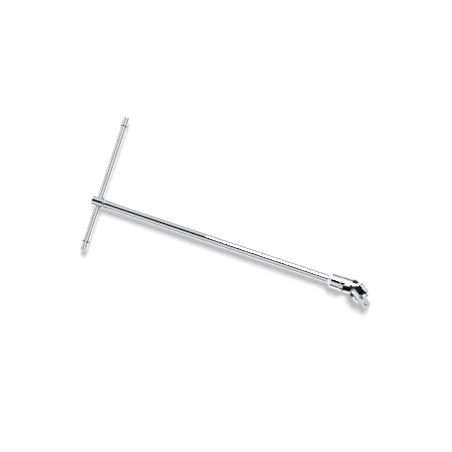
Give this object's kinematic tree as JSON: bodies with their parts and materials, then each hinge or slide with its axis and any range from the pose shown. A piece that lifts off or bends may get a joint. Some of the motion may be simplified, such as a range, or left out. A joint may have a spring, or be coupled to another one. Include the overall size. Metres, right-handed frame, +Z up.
{
  "type": "sliding T-handle universal joint wrench",
  "caption": "Chromed T-handle wrench with a sliding cross bar, a long shaft and a universal joint that carries a male square drive.",
  "frame": {"origin": "middle of the bounding box's foot, on the table that the wrench lies on, with the bar and the joint at rest", "axes": "+X down the shaft from the cross bar to the joint, Y along the cross bar with its long side at +Y, +Z up from the table"},
  "size_m": [0.3834, 0.184, 0.0244],
  "materials": {
    "chrome": "polished",
    "blackened_steel": "black oxide",
    "spring_steel": "oiled",
    "bright_steel": "polished"
  },
  "bodies": {
    "shaft_body": {"shaft": "chrome", "head_collar": "chrome", "head_plug": "bright_steel", "friction_spring": "spring_steel", "shaft_yoke": "chrome", "shaft_yoke_pin": "blackened_steel"},
    "friction_ball_body": {"friction_ball": "bright_steel"},
    "bar_body": {"tee_bar": "chrome", "bar_ring_short_side": "spring_steel", "bar_ring_long_side": "spring_steel"},
    "block_body": {"centre_block": "blackened_steel"},
    "drive_body": {"drive_yoke": "chrome", "drive_yoke_pin": "blackened_steel", "catch_spring": "spring_steel"},
    "catch_ball_body": {"catch_ball": "bright_steel"}
  },
  "joints": [
    {"name": "bar_slide", "type": "slide", "parent": "shaft_body", "child": "bar_body", "axis": [0, 1, 0], "range_m": [-0.096, 0.046]},
    {"name": "friction_ball_press", "type": "slide", "parent": "shaft_body", "child": "friction_ball_body", "axis": [1, 0, 0], "range_m": [0, 0.0004], "stiffness_N_per_m": 900, "springref_m": -0.0004, "deforming": ["friction_spring"]},
    {"name": "shaft_yoke_hinge", "type": "hinge", "parent": "shaft_body", "child": "block_body", "pos_m": [0.16389, -0.025, 0.011], "axis": [0, 0.6293, 0.7771], "range_deg": [-14.7, 75.3]},
    {"name": "drive_yoke_hinge", "type": "hinge", "parent": "block_body", "child": "drive_body", "pos_m": [0.17028, -0.0279, 0.01335], "axis": [0.5045, 0.671, -0.5434], "range_deg": [-67.2, 22.8]},
    {"name": "catch_ball_press", "type": "slide", "parent": "drive_body", "child": "catch_ball_body", "axis": [0.1261, 0.1672, -0.9778], "range_m": [0, 0.001], "stiffness_N_per_m": 900, "springref_m": -0.0004, "deforming": ["catch_spring"]}
  ]
}
